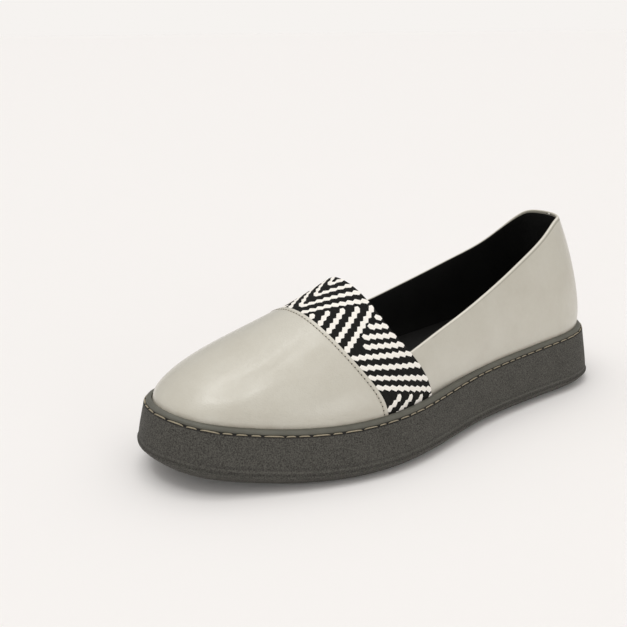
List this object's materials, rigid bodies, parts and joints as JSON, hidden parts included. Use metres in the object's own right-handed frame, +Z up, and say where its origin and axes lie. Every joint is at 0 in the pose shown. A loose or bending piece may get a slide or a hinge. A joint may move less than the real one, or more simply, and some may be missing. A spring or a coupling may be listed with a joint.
{
  "type": "flat shoe",
  "caption": "Left slip-on flat shoe with a closed toe, a woven band over the instep and a thick wedge sole with a stitched welt.",
  "frame": {"origin": "on the floor under the middle of the sole's outline box", "axes": "+Z up, -Y towards the toe, +Y towards the heel, +X towards the outer side of the left foot"},
  "size_m": [0.1074, 0.27, 0.0937],
  "materials": {
    "sole_rubber": "dark grey crepe rubber with a fine speckle",
    "welt_rubber": "smooth grey-green rubber",
    "leather": "smooth light greige leather, satin",
    "weave": "black and white woven ribbon in slanted stripes",
    "lining": "black lining leather"
  },
  "bodies": {
    "root": {"outsole": "sole_rubber", "welt": "welt_rubber", "upper": "leather", "instep_band": "weave", "insole": "lining"}
  },
  "joints": []
}
